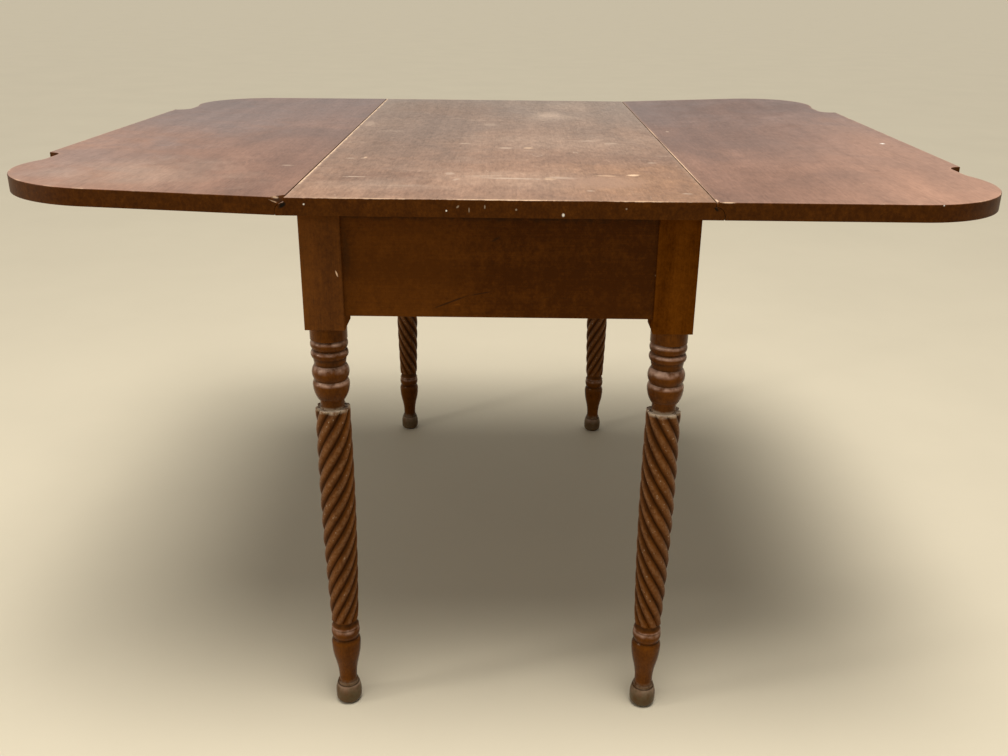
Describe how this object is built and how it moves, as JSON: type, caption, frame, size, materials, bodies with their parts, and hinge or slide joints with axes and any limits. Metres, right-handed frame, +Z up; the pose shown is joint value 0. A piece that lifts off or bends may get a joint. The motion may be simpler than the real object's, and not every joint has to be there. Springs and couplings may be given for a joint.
{
  "type": "drop-leaf table",
  "caption": "Wooden drop-leaf table: rope-twisted turned legs, plain aprons, shaped leaves on rule joints, and fly brackets that swing out under the leaves.",
  "frame": {"origin": "on the floor, under the middle of the top", "axes": "+X across the leaves, +Y along the top away from the front end, +Z up"},
  "size_m": [1.242, 1.03, 0.737],
  "materials": {
    "top_wood": "worn satin varnish",
    "leaf_wood": "satin varnish, hazy with age",
    "leg_wood": "dark satin varnish",
    "apron_wood": "dark satin varnish",
    "rail_wood": "bare secondary wood, oiled by age",
    "hinge_iron": "dull blackened iron",
    "screw_steel": "dull old steel"
  },
  "bodies": {
    "frame": {"fixed_top": "top_wood", "front_left_leg": "leg_wood", "front_right_leg": "leg_wood", "back_left_leg": "leg_wood", "back_right_leg": "leg_wood", "front_apron": "apron_wood", "back_apron": "apron_wood", "left_inner_rail": "rail_wood", "right_inner_rail": "rail_wood", "left_fly_rail": "rail_wood", "right_fly_rail": "rail_wood", "left_front_fly_pin": "hinge_iron", "left_back_fly_pin": "hinge_iron", "right_front_fly_pin": "hinge_iron", "right_back_fly_pin": "hinge_iron", "left_front_hinge_top_plate": "hinge_iron", "left_middle_hinge_top_plate": "hinge_iron", "left_back_hinge_top_plate": "hinge_iron", "right_front_hinge_top_plate": "hinge_iron", "right_middle_hinge_top_plate": "hinge_iron", "right_back_hinge_top_plate": "hinge_iron", "left_front_hinge_pin": "hinge_iron", "left_middle_hinge_pin": "hinge_iron", "left_back_hinge_pin": "hinge_iron", "right_front_hinge_pin": "hinge_iron", "right_middle_hinge_pin": "hinge_iron", "right_back_hinge_pin": "hinge_iron", "hinge_top_screws": "screw_steel", "fly_rail_screws": "screw_steel", "top_screws": "screw_steel"},
    "left_leaf": {"left_leaf": "leaf_wood", "left_front_hinge_leaf_plate": "hinge_iron", "left_middle_hinge_leaf_plate": "hinge_iron", "left_back_hinge_leaf_plate": "hinge_iron", "left_leaf_screws": "screw_steel"},
    "right_leaf": {"right_leaf": "leaf_wood", "right_front_hinge_leaf_plate": "hinge_iron", "right_middle_hinge_leaf_plate": "hinge_iron", "right_back_hinge_leaf_plate": "hinge_iron", "right_leaf_screws": "screw_steel"},
    "left_front_fly": {"left_front_fly": "rail_wood"},
    "left_back_fly": {"left_back_fly": "rail_wood"},
    "right_front_fly": {"right_front_fly": "rail_wood"},
    "right_back_fly": {"right_back_fly": "rail_wood"}
  },
  "joints": [
    {"name": "left_leaf_drop", "type": "hinge", "parent": "frame", "child": "left_leaf", "pos_m": [-0.247, 0, 0.72], "axis": [0, 1, 0], "range_deg": [-90, 0]},
    {"name": "right_leaf_drop", "type": "hinge", "parent": "frame", "child": "right_leaf", "pos_m": [0.247, 0, 0.72], "axis": [0, -1, 0], "range_deg": [-90, 0]},
    {"name": "left_front_fly_swing", "type": "hinge", "parent": "frame", "child": "left_front_fly", "pos_m": [-0.223, -0.18, 0.65], "axis": [0, 0, -1], "range_deg": [0, 90]},
    {"name": "left_back_fly_swing", "type": "hinge", "parent": "frame", "child": "left_back_fly", "pos_m": [-0.223, 0.18, 0.65], "axis": [0, 0, 1], "range_deg": [0, 90]},
    {"name": "right_front_fly_swing", "type": "hinge", "parent": "frame", "child": "right_front_fly", "pos_m": [0.223, -0.18, 0.65], "axis": [0, 0, 1], "range_deg": [0, 90]},
    {"name": "right_back_fly_swing", "type": "hinge", "parent": "frame", "child": "right_back_fly", "pos_m": [0.223, 0.18, 0.65], "axis": [0, 0, -1], "range_deg": [0, 90]}
  ]
}
